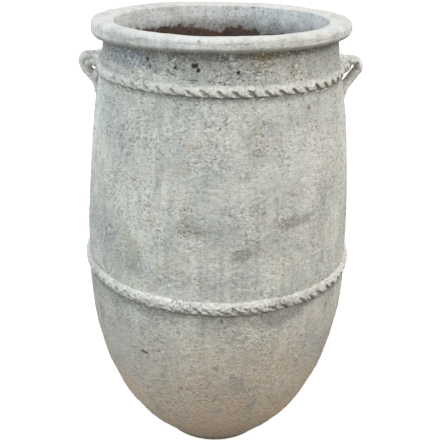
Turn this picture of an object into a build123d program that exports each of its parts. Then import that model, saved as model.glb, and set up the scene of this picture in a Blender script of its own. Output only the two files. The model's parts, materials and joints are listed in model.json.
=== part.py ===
from build123d import *

import os
from collections import namedtuple
from math import cos, radians, sin, sqrt

# A tall clay storage jar, built up the way a potter builds one. A round slab
# makes the floor, six wall courses stand on it one above the other on bevelled
# joints, a collar narrows to the neck, and a heavy roll saddles the collar as
# the rim. Two coils gashed to look like rope cover the main seams, and two
# strap handles are luted on over the upper one.
# The jar stands on the XY plane with its axis on +Z and a handle on each side
# along X. Lengths are in millimetres, and heights are above the ground.

# Body
shoulder_height = 943.0  # seam between the last wall course and the collar
belly_height = 437.0  # the widest place
belt_height = 503.0  # seam under the lower rope
foot_height = 11.0  # upright edge of the floor slab
base_radius = 137.0  # standing face
neck_radius = 253.0  # outside of the narrowest place, just under the rim
shoulder_flare = 7.5  # the shoulder seam stands out this far from the neck
belly_swell = 47.5  # the belly stands out this far from the shoulder seam
wall = 24.0
floor_thickness = 34.0
heel_rounding = 4.0
course_count_below_belt = 3
course_count_above_belt = 3
scarf_rise = 14.0  # a joint's inner edge lies this much above its outer edge

# Collar and rim
collar_height = 69.0
saddle_ridge = 8.0  # ridge on the collar that the rim roll sits over
rim_height = 30.0
rim_overhang = 25.0  # the rim's nose stands out this far from the neck
mouth_flare = 1.5  # the lip opens this far beyond the inside of the neck
nose_drop = 13.0  # the nose lies this far below the rim's crown
crown_inset = 9.0  # the crown lies this far inside the nose
lip_drop = 8.0  # the inner lip lies this far below the crown

# Rope bands: the coil's section, and the gashes pressed across it
Rope = namedtuple("Rope", "coil_height coil_thickness gashes")
neck_rope = Rope(coil_height=30.0, coil_thickness=18.0, gashes=56)
belt_rope = Rope(coil_height=36.0, coil_thickness=18.0, gashes=74)
coil_lean = 20.0  # degrees that the coil's top leans into the wall
gash_slant = 52.0  # degrees that a gash falls to the right, seen from outside
gash_dive = 24.0  # degrees that a gash bites deeper towards its lower end
gash_half_width = 4.5
gash_depth = 5.0
gash_length = 32.0
gash_clear = 5.0  # the cutting wedge stands this far proud of the coil
slip_gap = 0.2  # layer of slip between the wall and what is luted on

# Handles
strap_width = 38.0
strap_thickness = 19.0
handle_stand_out = 53.5  # from the shoulder seam to the outermost point
arm_rise = 8.0  # from the shoulder seam up to the strap's middle line
handle_bend_radius = 13.5  # on the middle line of the strap
handle_turn = 126.0  # degrees that the strap turns over at the bend
elbow_drop = 44.0  # from the shoulder seam down to the lower bend
elbow_radius = 30.0
tail_turn = 24.0  # degrees back at the lower bend
tail_length = 40.0
root_depth = 12.0  # the strap is drawn this far into the wall, then cut to fit it

shoulder_radius = neck_radius + shoulder_flare
belly_radius = shoulder_radius + belly_swell
neck_height = shoulder_height + collar_height
total_height = neck_height + rim_height

# Each skin of the wall follows two ellipses that share the belly circle.
Skin = namedtuple("Skin", "belly low_semi high_semi")


def semi_height(belly, radius, rise):
    """Half height of the ellipse that narrows from belly to radius over rise."""
    return rise / sqrt(1 - (radius / belly) ** 2)


outside = Skin(
    belly_radius,
    semi_height(belly_radius, base_radius, belly_height - foot_height),
    semi_height(belly_radius, shoulder_radius, shoulder_height - belly_height),
)
inside = Skin(
    belly_radius - wall,
    outside.low_semi - wall,
    semi_height(
        belly_radius - wall,
        shoulder_radius - wall,
        shoulder_height + scarf_rise - belly_height,
    ),
)


def semi_of(skin, height):
    return skin.low_semi if height < belly_height else skin.high_semi


def skin_radius(skin, height):
    share = (height - belly_height) / semi_of(skin, height)
    return skin.belly * sqrt(1 - share**2)


def skin_point(skin, height):
    return (skin_radius(skin, height), height)


def skin_tangent(skin, height):
    ratio = skin.belly / semi_of(skin, height)
    return (ratio**2 * (belly_height - height) / skin_radius(skin, height), 1)


def skin_curve(skin, low, high):
    """The skin's line from one height up to another, tangent to what adjoins it."""
    middle = belly_height if low < belly_height < high else (low + high) / 2
    points = [skin_point(skin, height) for height in (low, middle, high)]
    return Spline(points, tangents=[skin_tangent(skin, low), skin_tangent(skin, high)])


def turned(edges):
    """A ring or disc turned from the closed section that the edges make."""
    return revolve(Plane.XZ * make_face(edges), axis=Axis.Z)


# The joint under each course runs from the outer skin up to the inner one.
first_joint = floor_thickness - scarf_rise


def spaced(low, high, count):
    return [low + (high - low) * step / count for step in range(count)]


joint_heights = (
    spaced(first_joint, belt_height, course_count_below_belt)
    + spaced(belt_height, shoulder_height, course_count_above_belt)
    + [shoulder_height]
)
courses = list(zip(joint_heights, joint_heights[1:]))


def joint_ends(height):
    return skin_point(outside, height), skin_point(inside, height + scarf_rise)


def joint_line(height):
    return Line(*joint_ends(height))


def floor_slab():
    outer, inner = joint_ends(first_joint)
    edges = [
        Polyline((base_radius, foot_height), (base_radius, 0), (0, 0), (0, floor_thickness), inner),
        joint_line(first_joint),
        skin_curve(outside, foot_height, first_joint),
    ]
    slab = turned(edges)
    heel = slab.edges().filter_by(GeomType.CIRCLE).group_by(Axis.Z)[0]
    return fillet(heel, heel_rounding)


def wall_course(low, high):
    return turned(
        [
            skin_curve(outside, low, high),
            joint_line(high),
            skin_curve(inside, low + scarf_rise, high + scarf_rise),
            joint_line(low),
        ]
    )


# The collar leaves the shoulder along the wall and is upright at the neck.
shoulder_outer, shoulder_inner = joint_ends(shoulder_height)
neck_outer = (neck_radius, neck_height)
neck_inner = (neck_radius - wall, neck_height)
neck_ridge = (neck_radius - wall / 2, neck_height + saddle_ridge)
upright = (0, 1)


def collar_curve(skin, foot, top):
    return Spline(foot, top, tangents=[skin_tangent(skin, foot[1]), upright])


def collar_outside():
    return collar_curve(outside, shoulder_outer, neck_outer)


def saddle():
    return Polyline(neck_outer, neck_ridge, neck_inner)


def neck_collar():
    return turned(
        [
            collar_outside(),
            saddle(),
            collar_curve(inside, shoulder_inner, neck_inner),
            joint_line(shoulder_height),
        ]
    )


def rim_roll():
    nose = (neck_radius + rim_overhang, total_height - nose_drop)
    crown_radius = nose[0] - crown_inset
    lip = (neck_inner[0] + mouth_flare, total_height - lip_drop)
    return turned(
        [
            saddle(),
            Line(neck_inner, lip),
            EllipticalCenterArc(
                (crown_radius, lip[1]), crown_radius - lip[0], lip_drop, 90, arc_size=90
            ),
            EllipticalCenterArc(
                (crown_radius, nose[1]), crown_inset, nose_drop, 0, arc_size=90
            ),
            TangentArc(nose, neck_outer, tangent=(0, -1)),
        ]
    )


def body_section():
    """Everything inside the outer skin, from the ground up to the neck."""
    return make_face(
        [
            skin_curve(outside, foot_height, first_joint),
            *(skin_curve(outside, low, high) for low, high in courses),
            collar_outside(),
            Polyline(
                neck_outer,
                (0, neck_height),
                (0, 0),
                (base_radius, 0),
                (base_radius, foot_height),
            ),
        ]
    )


def seat_section():
    """The body with its coat of slip, which cuts the seats of what is luted on."""
    return Pos(slip_gap, 0) * body_section()


def coil_section(rope, height, growth=0):
    """The leaning oval of a coil whose middle is on the wall at this height."""
    oval = Ellipse(rope.coil_thickness / 2 + growth, rope.coil_height / 2 + growth)
    return Pos(skin_radius(outside, height), height) * Rot(0, 0, coil_lean) * oval


def gash_wedge(crest_radius, height):
    """The tapering tool pressed across the coil at the +X side."""
    slant, dive = radians(gash_slant), radians(gash_dive)
    down_right = Vector(0, cos(slant), -sin(slant))
    along = down_right * cos(dive) + Vector(-1, 0, 0) * sin(dive)
    outward = Vector(1, 0, 0) * cos(dive) + down_right * sin(dive)
    across = Plane(origin=(crest_radius, 0, height), x_dir=outward, z_dir=along)
    blade = Polygon(
        (-gash_depth, 0),
        (gash_clear, -gash_half_width),
        (gash_clear, gash_half_width),
        align=None,
    )
    return extrude(across * blade, gash_length / 2, both=True)


def rope_band(rope, height):
    coil = coil_section(rope, height) - seat_section()
    ring = revolve(Plane.XZ * coil, axis=Axis.Z)
    wedge = gash_wedge(coil.bounding_box().max.X, height - rope.coil_height / 4)
    return ring - [Rot(0, 0, 360 * step / rope.gashes) * wedge for step in range(rope.gashes)]


def handle():
    """The strap on the +X side, swept along its middle line and cut to its seats."""
    arm_height = shoulder_height + arm_rise
    reach = shoulder_radius + handle_stand_out
    bend_start = reach - strap_thickness / 2 - handle_bend_radius
    arm = Line((neck_radius - root_depth, arm_height), (bend_start, arm_height))
    bend = JernArc(arm @ 1, arm % 1, handle_bend_radius, -handle_turn)
    fall = (bend @ 1).Y - (shoulder_height - elbow_drop)
    drop = Line(bend @ 1, bend @ 1 + (bend % 1) * (fall / abs((bend % 1).Y)))
    elbow = JernArc(drop @ 1, drop % 1, elbow_radius, tail_turn)
    tail = Line(elbow @ 1, elbow @ 1 + (elbow % 1) * tail_length)
    middle_line = Plane.XZ * Wire([arm, bend, drop, elbow, tail])
    start = Plane(origin=middle_line @ 0, x_dir=(0, 1, 0), z_dir=middle_line % 0)
    strap = sweep(start * Ellipse(strap_width / 2, strap_thickness / 2), path=middle_line)
    seats = seat_section() + coil_section(neck_rope, shoulder_height, slip_gap)
    return strap - revolve(Plane.XZ * seats, axis=Axis.Z)


nodes = {
    "floor_slab": floor_slab(),
    "neck_collar": neck_collar(),
    "rim_roll": rim_roll(),
    "belt_rope": rope_band(belt_rope, belt_height),
    "neck_rope": rope_band(neck_rope, shoulder_height),
    "right_handle": handle(),
    "left_handle": Rot(0, 0, 180) * handle(),
}
for number, (low, high) in enumerate(courses, start=1):
    nodes[f"wall_course_{number}"] = wall_course(low, high)

os.makedirs("parts", exist_ok=True)
for name, solid in nodes.items():
    export_step(solid, f"parts/{name}.step")
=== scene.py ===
import json
import math
import random

import bpy
from bpy.props import FloatProperty, FloatVectorProperty, IntProperty, PointerProperty
from bpy.types import Operator, Panel, PropertyGroup
from mathutils import Matrix, Vector

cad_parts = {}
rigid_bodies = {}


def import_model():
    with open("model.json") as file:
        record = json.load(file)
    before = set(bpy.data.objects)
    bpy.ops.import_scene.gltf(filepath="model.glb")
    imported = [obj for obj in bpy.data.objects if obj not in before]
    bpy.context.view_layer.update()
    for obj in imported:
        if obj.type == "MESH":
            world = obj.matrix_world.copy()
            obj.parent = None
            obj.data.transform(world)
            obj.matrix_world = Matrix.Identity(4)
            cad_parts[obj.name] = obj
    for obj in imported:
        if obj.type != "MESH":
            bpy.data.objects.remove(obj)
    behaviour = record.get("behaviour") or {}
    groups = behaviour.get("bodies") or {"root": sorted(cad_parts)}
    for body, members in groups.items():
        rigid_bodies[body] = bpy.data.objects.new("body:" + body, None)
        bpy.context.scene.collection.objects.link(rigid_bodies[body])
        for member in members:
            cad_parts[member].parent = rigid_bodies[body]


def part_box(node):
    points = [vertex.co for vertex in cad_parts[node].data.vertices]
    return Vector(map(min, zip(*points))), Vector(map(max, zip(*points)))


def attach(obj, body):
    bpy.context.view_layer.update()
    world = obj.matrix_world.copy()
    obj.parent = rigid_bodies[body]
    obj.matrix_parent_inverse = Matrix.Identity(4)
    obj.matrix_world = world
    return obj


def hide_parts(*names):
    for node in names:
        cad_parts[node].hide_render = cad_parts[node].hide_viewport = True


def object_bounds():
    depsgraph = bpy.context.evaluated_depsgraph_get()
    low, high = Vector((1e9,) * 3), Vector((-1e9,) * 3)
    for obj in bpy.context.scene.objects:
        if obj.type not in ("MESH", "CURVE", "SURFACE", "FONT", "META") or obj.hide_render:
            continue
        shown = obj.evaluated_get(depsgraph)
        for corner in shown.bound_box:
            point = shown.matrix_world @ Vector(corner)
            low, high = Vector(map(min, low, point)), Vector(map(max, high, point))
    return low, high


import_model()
cad_low, cad_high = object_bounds()

bl_info = {
    "name": "Rope-banded storage jar",
    "version": (1, 0, 0),
    "blender": (4, 5, 0),
    "location": "View3D > Sidebar > Jar",
    "description": "Dresses the packed storage jar as worn, washed clay",
    "category": "Object",
}

# Lengths are in metres, and heights are above the ground.
COURSES = [f"wall_course_{number}" for number in range(1, 7)]
# Outer edges of the joints, from the slab's up to the collar's
SEAMS = [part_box(name)[0].z for name in COURSES] + [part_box("neck_collar")[0].z]
BELT_SEAM = SEAMS[3]
SHOULDER_SEAM = SEAMS[-1]
# A joint's inner edge lies this much above its outer edge
SCARF_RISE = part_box("wall_course_1")[1].z - SEAMS[1]
TOTAL_HEIGHT = cad_high.z
FULL_TURN = 2 * math.pi


def length(name, description, default):
    return FloatProperty(
        name=name, description=description, default=default, subtype="DISTANCE", unit="LENGTH"
    )


def angle(name, description, degrees):
    return FloatProperty(
        name=name,
        description=description,
        default=math.radians(degrees),
        subtype="ANGLE",
        unit="ROTATION",
    )


def linear(channel):
    share = channel / 255
    return share / 12.92 if share <= 0.04045 else ((share + 0.055) / 1.055) ** 2.4


def colour(name, description, red, green, blue):
    return FloatVectorProperty(
        name=name,
        description=description,
        default=(linear(red), linear(green), linear(blue)),
        min=0,
        max=1,
        subtype="COLOR",
    )


class JarSizes(PropertyGroup):
    base_radius: length("Base radius", "Standing face", 0.137)
    foot_height: length("Foot height", "Upright edge of the floor slab", 0.011)
    heel_rounding: length("Heel rounding", "Edge of the standing face", 0.004)
    belly_radius: length("Belly radius", "Widest place", 0.308)
    belly_height: length("Belly height", "Height of the widest place", 0.437)
    shoulder_radius: length("Shoulder radius", "At the seam under the collar", 0.2605)
    neck_radius: length("Neck radius", "Outside, just under the rim", 0.253)
    wall: length("Wall", "Thickness of the wall", 0.024)
    floor_thickness: length("Floor", "Thickness of the floor", 0.034)
    rim_height: length("Rim height", "From the neck to the crown", 0.030)
    rim_overhang: length("Rim overhang", "From the neck out to the nose", 0.025)
    nose_drop: length("Nose drop", "From the crown down to the nose", 0.013)
    crown_inset: length("Crown inset", "From the nose in to the crown", 0.009)
    roll_sag: length("Roll sag", "The roll hangs this far below the neck's top", 0.0035)
    roll_inset: length("Roll inset", "Width of the roll's lower rounding", 0.014)
    roll_rise: length("Roll rise", "Height of the roll's lower rounding", 0.0125)
    lip_drop: length("Lip drop", "From the crown down to the lip", 0.008)
    mouth_flare: length("Mouth flare", "The lip opens this far", 0.0015)
    crown_wear: length("Crown wear", "Rubbed off the top of the rim", 0.0022)
    rim_sag: length("Rim sag", "The rim has sunk by this much", 0.0028)
    crown_tilt: length("Crown tilt", "The crown's right is higher than its middle", 0.0012)
    under_tilt: length("Under tilt", "The rim's underside is higher at the right", 0.0062)
    front_lift: length("Front lift", "The rim's underside is higher at the front", 0.0010)
    outer_row: length("Outer row", "Spacing of the rows on the outside", 0.003)
    inner_row: length("Inner row", "Spacing of the rows on the inside", 0.009)
    facets: IntProperty(name="Facets", description="Steps round the jar", default=640)
    lump_depth: length("Lumps", "Unevenness of the hand-built wall", 0.007)
    paddle_depth: length("Paddling", "Marks of the paddle", 0.0035)
    ripple_depth: length("Ripple", "Stippled skin of the clay", 0.0026)
    pit_depth: length("Pits", "Lost grit on the neck", 0.0030)


class RopeSizes(PropertyGroup):
    neck_coil_height: length("Neck coil height", "Height of the upper coil", 0.027)
    belt_coil_height: length("Belt coil height", "Height of the lower coil", 0.036)
    neck_coil_drop: length("Neck coil drop", "Below the seam that it covers", 0.0065)
    belt_coil_drop: length("Belt coil drop", "Below the seam that it covers", 0.0100)
    coil_thickness: length("Coil thickness", "From back to front", 0.0195)
    neck_coil_lean: angle("Neck coil lean", "The coil's top leans into the wall", 16)
    belt_coil_lean: angle("Belt coil lean", "The coil's top leans into the wall", -4)
    crust: length("Crust", "Left for the crust, inside the coil's size", 0.0013)
    gash_slant: angle("Gash slant", "A gash leans to the left by this much from upright", 45)
    gash_dive: angle("Gash dive", "A gash bites deeper towards its lower end", 16)
    gash_width: length("Gash width", "Across the blade", 0.019)
    gash_depth: length("Gash depth", "Pressed into the coil", 0.0085)
    blade_reach: length("Blade reach", "Half of the blade's depth", 0.011)
    gash_share: FloatProperty(
        name="Gash share", description="Blade's length by the coil's height", default=1.50
    )
    neck_gashes: IntProperty(name="Neck gashes", description="Round the neck", default=56)
    belt_gashes: IntProperty(name="Belt gashes", description="Round the belly", default=74)
    grain: length("Grain", "Size of the remeshed faces", 0.0016)


class HandleSizes(PropertyGroup):
    strap_width: length("Strap width", "Across the strap", 0.038)
    strap_thickness: length("Strap thickness", "Through the strap", 0.019)
    stand_out: length("Stand-out", "From the shoulder to the outermost point", 0.0535)
    arm_rise: length("Arm rise", "From the shoulder seam up to the arm", 0.008)
    bend_radius: length("Bend radius", "On the middle line", 0.0135)
    turn: angle("Turn", "The strap turns over by this much", 126)
    elbow_drop: length("Elbow drop", "From the shoulder seam to the lower bend", 0.044)
    elbow_radius: length("Elbow radius", "On the middle line", 0.030)
    tail_turn: angle("Tail turn", "Turn back at the lower bend", 24)
    tail_length: length("Tail length", "Stretch that lies on the shoulder", 0.040)
    root_depth: length("Root depth", "The strap goes this far into the wall", 0.012)
    grain: length("Grain", "Size of the remeshed faces", 0.0014)


class JarFinish(PropertyGroup):
    wash: colour("Wash", "Worn whitish wash", 205, 203, 190)
    # Grey wash is also painted shade on the rim's crown, where it faces up
    grey_wash_and_shade: colour("Grey wash", "Weathered wash", 166, 168, 163)
    thick_wash: colour("Thick wash", "Wash on the ropes and the handles", 217, 214, 205)
    rim_wash: colour("Rim wash", "Brushed wash on the rim", 216, 214, 210)
    inner_wash: colour("Inner wash", "Wash inside the mouth", 218, 222, 218)
    buff: colour("Buff", "Clay that shows through the wash", 172, 158, 136)
    earth: colour("Earth", "Stain on the lower belly and the foot", 193, 169, 141)
    # Grime is also painted shade: in the rope grooves, under the ropes and the belt, and on
    # undersides
    grime_and_shade: colour("Grime", "Dirt in grooves and under the ropes", 92, 88, 78)
    # Dirt under the rim is partly painted shadow, and painted shade on the rim's underside
    dirt_and_shadow: colour("Dirt", "Brown dirt under the rim", 88, 82, 66)
    pit: colour("Pit", "Bottom of a pit", 60, 52, 44)
    clay: colour("Clay", "Bare clay inside and at the foot", 104, 78, 70)
    lichen: colour("Lichen", "Greenish stain", 142, 142, 116)
    # Slate is also painted shade on the flanks of the lower belly
    slate_and_shade: colour("Slate", "Bluish weathering", 118, 126, 134)
    ochre: colour("Ochre", "Brown-green stain under the rim", 138, 118, 82)


class StageSettings(PropertyGroup):
    camera_distance: length("Camera distance", "In front of the axis", 1.552)
    camera_height: length("Camera height", "Above the ground", 1.248)
    camera_tilt: angle("Camera tilt", "Downwards", 23.94)
    camera_roll: angle("Camera roll", "Counter-clockwise", 1.15)
    focal_length: FloatProperty(
        name="Focal length", description="On a 36 mm sensor", default=57.27, unit="CAMERA"
    )
    frame_shift: FloatProperty(
        name="Frame shift", description="Share of the frame's width", default=0.0055
    )
    floor_colour: colour("Floor", "Pale floor", 146, 143, 136)
    sky_colour: colour("Sky", "Overcast light", 245, 248, 255)


def jar_sizes():
    return bpy.context.scene.jar_sizes


# Handling of pieces

MERGE_DISTANCE = 1e-6


def deselect():
    bpy.ops.object.select_all(action="DESELECT")


def take(piece):
    """Makes this piece the only selected one, and the active one."""
    deselect()
    piece.select_set(True)
    bpy.context.view_layer.objects.active = piece


def edit(piece, mode="VERT"):
    take(piece)
    bpy.ops.object.mode_set(mode="EDIT")
    bpy.ops.mesh.select_mode(type=mode)


def leave():
    bpy.ops.object.mode_set(mode="OBJECT")


def joined(pieces):
    """Joins the pieces into the first one."""
    take(pieces[0])
    for piece in pieces:
        piece.select_set(True)
    bpy.ops.object.join()
    return pieces[0]


def apply_modifier(piece, kind, **settings):
    take(piece)
    bpy.ops.object.modifier_add(type=kind)
    modifier = piece.modifiers[-1]
    for name, value in settings.items():
        setattr(modifier, name, value)
    bpy.ops.object.modifier_apply(modifier=modifier.name)


def face_outwards(piece):
    edit(piece)
    bpy.ops.mesh.select_all(action="SELECT")
    bpy.ops.mesh.normals_make_consistent(inside=False)
    leave()


def turn_round(section, steps):
    """Turns a section once round the jar's axis."""
    apply_modifier(
        section,
        "SCREW",
        angle=FULL_TURN,
        steps=steps,
        render_steps=steps,
        use_merge_vertices=True,
        merge_threshold=MERGE_DISTANCE,
    )
    face_outwards(section)


def cloud_texture(name, size, depth=2):
    texture = bpy.data.textures.new(name, "CLOUDS")
    texture.noise_scale = size
    texture.noise_depth = depth
    return texture


def uneven(piece, texture, depth, texture_coords="LOCAL", **settings):
    """Pushes the skin in and out by a pattern."""
    apply_modifier(
        piece,
        "DISPLACE",
        texture=texture,
        texture_coords=texture_coords,
        strength=depth,
        **settings,
    )


def dress(piece, *materials):
    take(piece)
    bpy.ops.object.shade_smooth()
    piece.data.materials.clear()
    for material in materials:
        piece.data.materials.append(material)


def place(piece, node):
    """Lets a finished piece stand for its node."""
    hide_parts(node)
    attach(piece, "root")


# The jar's section: points of radius and height

# Spacing of its rows
FACE_ROW = 0.03  # standing face
BOWL_ROW = 0.02  # floor inside
ROLL_ROW = 0.002  # flat stretches of the rim
THROAT_ROW = 0.003  # inside of the rim
# Steps along its roundings
HEEL_STEPS = 4
UNDER_STEPS = 12
FRONT_STEPS = 10
CROWN_STEPS = 18
COLLAR_STEPS = 26
INNER_COLLAR_STEPS = 14


def spread(low, high, step):
    """Even values from low to high, about a step apart."""
    count = max(1, round(abs(high - low) / step))
    return [low + (high - low) * turn / count for turn in range(count + 1)]


def ellipse_semi(belly, radius, rise):
    """Half height of the ellipse that narrows from belly to radius over rise."""
    return rise / math.sqrt(1 - (radius / belly) ** 2)


def low_semi(sizes):
    rise = sizes.belly_height - sizes.foot_height
    return ellipse_semi(sizes.belly_radius, sizes.base_radius, rise)


def ellipse_radius(belly, semi, height):
    share = (height - jar_sizes().belly_height) / semi
    return belly * math.sqrt(1 - share**2)


def outer_radius(height):
    sizes = jar_sizes()
    if height < sizes.belly_height:
        semi = low_semi(sizes)
    else:
        rise = SHOULDER_SEAM - sizes.belly_height
        semi = ellipse_semi(sizes.belly_radius, sizes.shoulder_radius, rise)
    return ellipse_radius(sizes.belly_radius, semi, height)


def inner_radius(height):
    sizes = jar_sizes()
    belly = sizes.belly_radius - sizes.wall
    if height < sizes.belly_height:
        semi = low_semi(sizes) - sizes.wall
    else:
        rise = SHOULDER_SEAM + SCARF_RISE - sizes.belly_height
        semi = ellipse_semi(belly, sizes.shoulder_radius - sizes.wall, rise)
    return ellipse_radius(belly, semi, height)


def slope_of(radius_at, height):
    nudge = 0.001
    return (radius_at(height) - radius_at(height - nudge)) / nudge


def collar_line(foot, top, slope, count):
    """A cubic curve from the shoulder up to the upright neck."""
    foot, top = Vector(foot), Vector(top)
    reach = (top - foot).length
    leaving = Vector((slope, 1)).normalized() * reach
    arriving = Vector((0, reach))
    points = []
    for step in range(count + 1):
        t = step / count
        points.append(
            (2 * t**3 - 3 * t**2 + 1) * foot
            + (t**3 - 2 * t**2 + t) * leaving
            + (3 * t**2 - 2 * t**3) * top
            + (t**3 - t**2) * arriving
        )
    return [tuple(point) for point in points]


def arc(centre, across, up, start, end, count):
    """Part of an ellipse, from one angle to another in degrees."""
    points = []
    for step in range(count + 1):
        turn = math.radians(start + (end - start) * step / count)
        points.append((centre[0] + across * math.cos(turn), centre[1] + up * math.sin(turn)))
    return points


def slab_outside(sizes):
    rounding = sizes.heel_rounding
    inset = sizes.base_radius - rounding
    face = [(radius, 0) for radius in spread(0, inset, FACE_ROW)]
    heel = arc((inset, rounding), rounding, rounding, -90, 0, HEEL_STEPS)
    skin = [(outer_radius(z), z) for z in spread(sizes.foot_height, SEAMS[0], sizes.outer_row)]
    return face + heel[1:] + skin


def rim_line(sizes):
    """From the neck under and round the roll to the lip, and down inside to the neck."""
    neck_height = TOTAL_HEIGHT - sizes.rim_height
    crown_height = TOTAL_HEIGHT - sizes.crown_wear
    nose_height = TOTAL_HEIGHT - sizes.nose_drop
    lip_height = TOTAL_HEIGHT - sizes.lip_drop
    shelf_height = neck_height - sizes.roll_sag
    under_height = shelf_height + sizes.roll_rise
    nose = sizes.neck_radius + sizes.rim_overhang
    crown = nose - sizes.crown_inset
    shelf_end = nose - sizes.roll_inset
    lip = sizes.neck_radius - sizes.wall + sizes.mouth_flare

    shelf = [(radius, shelf_height) for radius in spread(sizes.neck_radius, shelf_end, ROLL_ROW)]
    under = arc((shelf_end, under_height), sizes.roll_inset, sizes.roll_rise, -90, 0, UNDER_STEPS)
    face = [(nose, z) for z in spread(under_height, nose_height, ROLL_ROW)]
    rise = crown_height - nose_height
    front = arc((crown, nose_height), sizes.crown_inset, rise, 0, 90, FRONT_STEPS)
    top = arc((crown, lip_height), crown - lip, crown_height - lip_height, 90, 180, CROWN_STEPS)
    throat = [
        (lip - sizes.mouth_flare * (lip_height - z) / (lip_height - neck_height), z)
        for z in spread(lip_height, neck_height, THROAT_ROW)
    ]
    return shelf + under[1:] + face[1:] + front[1:] + top[1:], throat


def body_stretches(sizes):
    """The jar's section as stretches of points, each with its piece and its side."""
    courses = list(zip(COURSES, SEAMS, SEAMS[1:]))
    stretches = [("floor_slab", "outside", slab_outside(sizes))]
    for name, low, high in courses:
        points = [(outer_radius(z), z) for z in spread(low, high, sizes.outer_row)]
        stretches.append((name, "outside", points))
    shoulder = (outer_radius(SHOULDER_SEAM), SHOULDER_SEAM)
    slope = slope_of(outer_radius, SHOULDER_SEAM)
    roll, throat = rim_line(sizes)
    stretches += [
        ("neck_collar", "outside", collar_line(shoulder, roll[0], slope, COLLAR_STEPS)),
        ("rim_roll", "outside", roll),
        ("rim_roll", "inside", throat),
    ]
    inner_seam = SHOULDER_SEAM + SCARF_RISE
    shoulder = (inner_radius(inner_seam), inner_seam)
    slope = slope_of(inner_radius, inner_seam)
    neck = (sizes.neck_radius - sizes.wall, TOTAL_HEIGHT - sizes.rim_height)
    collar = collar_line(shoulder, neck, slope, INNER_COLLAR_STEPS)
    stretches.append(("neck_collar", "inside", collar[::-1]))
    for name, low, high in reversed(courses):
        rows = spread(high + SCARF_RISE, low + SCARF_RISE, sizes.inner_row)
        stretches.append((name, "inside", [(inner_radius(z), z) for z in rows]))
    bowl = inner_radius(SEAMS[0] + SCARF_RISE)
    floor = [(radius, sizes.floor_thickness) for radius in spread(bowl, 0, BOWL_ROW)]
    stretches.append(("floor_slab", "inside", floor))
    return stretches


# The turned body

SAME_POINT = 1e-7
SEED_SIZE = 0.001  # plane that the section's first point is merged from

# Heights over which the skin comes loose
INSIDE_RISE = (0.04, 0.2)
LOOSE_RISE = (0.004, 0.05)
STIPPLE_RISE = (0.004, 0.04)
PIT_RISE = (SHOULDER_SEAM - 0.06, SHOULDER_SEAM + 0.01)
# It holds still again over these heights below the neck's top
RIM_BLEND = 0.012
PIT_BLEND = 0.01
# Shares of the unevenness inside, and what the rim takes off
INSIDE_LOOSE = 0.5
INSIDE_STIPPLE = 0.3
RIM_FIRM = 0.4
RIM_SMOOTH = 0.85

NECK_GIVE = 0.035  # the neck gives way to the sunken rim over this height

# Sizes of the marks on the skin
LUMP = 0.22
PADDLE_MARK = 0.06
STIPPLE = 0.010
STIPPLE_STRETCH = (1, 1, 0.7)
GRIT_SPACING = 0.026
GRIT_EDGE = (0.05, 0.22)

# A piece whose open edges lie further apart than this has two joints
ONE_JOINT = 2.5 * SCARF_RISE


def ramp(value, low, high):
    return min(1, max(0, (value - low) / (high - low)))


def drawn_section(stretches):
    """Extrudes one vertex along the section and sorts the rows into groups."""
    deselect()
    bpy.ops.mesh.primitive_plane_add(size=SEED_SIZE, location=(0, 0, 0))
    body = bpy.context.object
    edit(body)
    bpy.ops.mesh.select_all(action="SELECT")
    bpy.ops.mesh.merge(type="CENTER")
    rows, groups, last = [], {}, None
    for name, side, points in stretches:
        for radius, height in points:
            point = Vector((radius, 0, height))
            if last is None or (point - last).length > SAME_POINT:
                if last is not None:
                    move = {"value": point - last}
                    bpy.ops.mesh.extrude_region_move(TRANSFORM_OT_translate=move)
                rows.append((side, height))
                last = point
            for group in (name, side):
                groups.setdefault(group, set()).add(len(rows) - 1)
    leave()
    for name, members in groups.items():
        body.vertex_groups.new(name=name).add(sorted(members), 1.0, "REPLACE")
    return body, rows


def weigh(body, rows):
    """Groups that say where the skin may be pushed about."""
    neck_height = TOTAL_HEIGHT - jar_sizes().rim_height
    names = ("loose", "stippled", "pitted")
    groups = {name: body.vertex_groups.new(name=name) for name in names}
    for index, (side, height) in enumerate(rows):
        if side == "inside":
            free = ramp(height, *INSIDE_RISE)
            weights = {"loose": INSIDE_LOOSE * free, "stippled": INSIDE_STIPPLE * free}
        else:
            rim = ramp(height, neck_height - RIM_BLEND, neck_height)
            pit_end = ramp(height, neck_height - PIT_BLEND, neck_height)
            weights = {
                "loose": ramp(height, *LOOSE_RISE) * (1 - RIM_FIRM * rim),
                "stippled": ramp(height, *STIPPLE_RISE) * (1 - RIM_SMOOTH * rim),
                "pitted": ramp(height, *PIT_RISE) * (1 - pit_end),
            }
        for name, weight in weights.items():
            groups[name].add([index], weight, "REPLACE")


def settle_rim(body):
    """Lets the rim sag to the left, its underside more than its crown."""
    sizes = jar_sizes()
    low = TOTAL_HEIGHT - sizes.rim_height - sizes.roll_sag
    nose = sizes.neck_radius + sizes.rim_overhang
    for vertex in body.data.vertices:
        crown = ramp(vertex.co.z, low, TOTAL_HEIGHT)
        tilt = sizes.under_tilt + crown * (sizes.crown_tilt - sizes.under_tilt)
        lift = (1 - crown) * sizes.front_lift * max(0, -vertex.co.y) / nose
        drop = sizes.rim_sag - tilt * vertex.co.x / nose - lift
        vertex.co.z -= drop * ramp(vertex.co.z, low - NECK_GIVE, low)


def grit_texture():
    """Black in the holes that lost grit leaves, and white elsewhere."""
    texture = bpy.data.textures.new("lost grit", "VORONOI")
    texture.noise_scale = GRIT_SPACING
    texture.use_color_ramp = True
    hole, skin = texture.color_ramp.elements
    hole.position, skin.position = GRIT_EDGE
    hole.color, skin.color = (0, 0, 0, 1), (1, 1, 1, 1)
    return texture


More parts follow.
